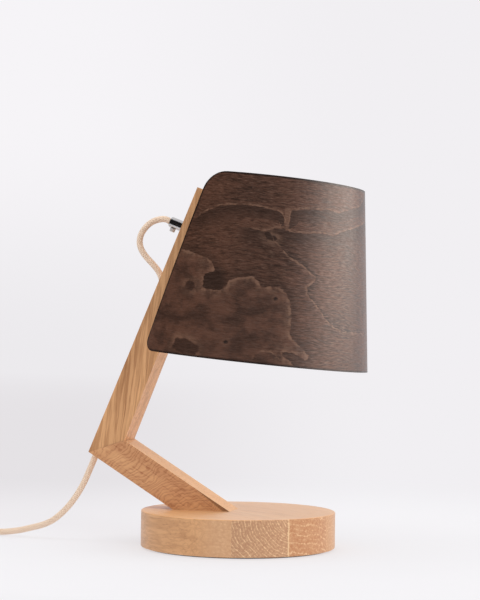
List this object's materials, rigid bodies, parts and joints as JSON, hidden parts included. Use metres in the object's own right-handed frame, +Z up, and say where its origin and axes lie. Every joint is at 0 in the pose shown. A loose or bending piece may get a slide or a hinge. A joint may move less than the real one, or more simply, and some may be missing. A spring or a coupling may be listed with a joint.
{
  "type": "table lamp",
  "caption": "Table lamp: a round stave-built base carries a mitred oak arm, on which a dark conical veneer shade with a flat back swivels; textile cord with a cord switch.",
  "frame": {"origin": "centre of the base's underside, on the table", "axes": "+Z up; +X from the elbow towards the shade, in the plane of the arms"},
  "size_m": [0.5222, 0.228, 0.36],
  "materials": {
    "felt": "pressed felt and fibre",
    "oak": "oiled oak",
    "steel": "zinc plated",
    "brass": "turned",
    "chrome": "polished",
    "veneer": "dark figured veneer, satin",
    "white_plastic": "moulded",
    "core": "moulded",
    "opal_glass": "opal",
    "textile": "woven textile cord",
    "tie": "woven tape",
    "cream_plastic": "moulded"
  },
  "bodies": {
    "lamp": {"felt_pad": "felt", "base_stave_1": "oak", "base_stave_2": "oak", "base_stave_3": "oak", "base_stave_4": "oak", "base_screws": "steel", "lower_arm": "oak", "upper_arm": "oak", "elbow_dowels": "oak", "threaded_tube": "brass", "grip_body": "chrome", "grip_screw": "chrome", "fibre_disc": "felt", "pivot_washer": "steel", "lock_nut": "steel", "holder_cap": "white_plastic", "holder_skirt": "white_plastic", "terminal_block": "white_plastic", "screw_shell": "brass", "centre_contact": "brass", "core_wires": "core", "bulb_cap": "steel", "bulb_tip": "core", "bulb_glass": "opal_glass", "cord_loop": "textile", "cord_in_groove": "textile", "cord_lead": "textile", "cord_coil": "textile", "coil_ties": "tie", "switch_base": "cream_plastic", "switch_cover": "cream_plastic", "switch_pin": "steel", "switch_screws": "steel", "plug_relief": "cream_plastic", "plug_body": "cream_plastic", "plug_pins": "steel"},
    "shade": {"shade_wall": "veneer", "shade_back": "veneer"},
    "rocker": {"switch_rocker": "cream_plastic"}
  },
  "joints": [
    {"name": "shade_swivel", "type": "hinge", "parent": "lamp", "child": "shade", "pos_m": [-0.03341, 0, 0.30413], "axis": [0.9304, 0, -0.3665], "range_deg": [-90, 90]},
    {"name": "rocker_tilt", "type": "hinge", "parent": "lamp", "child": "rocker", "pos_m": [-0.316, 0.045, 0.0075], "axis": [0.4226, 0.9063, 0], "range_deg": [0, 16]}
  ]
}
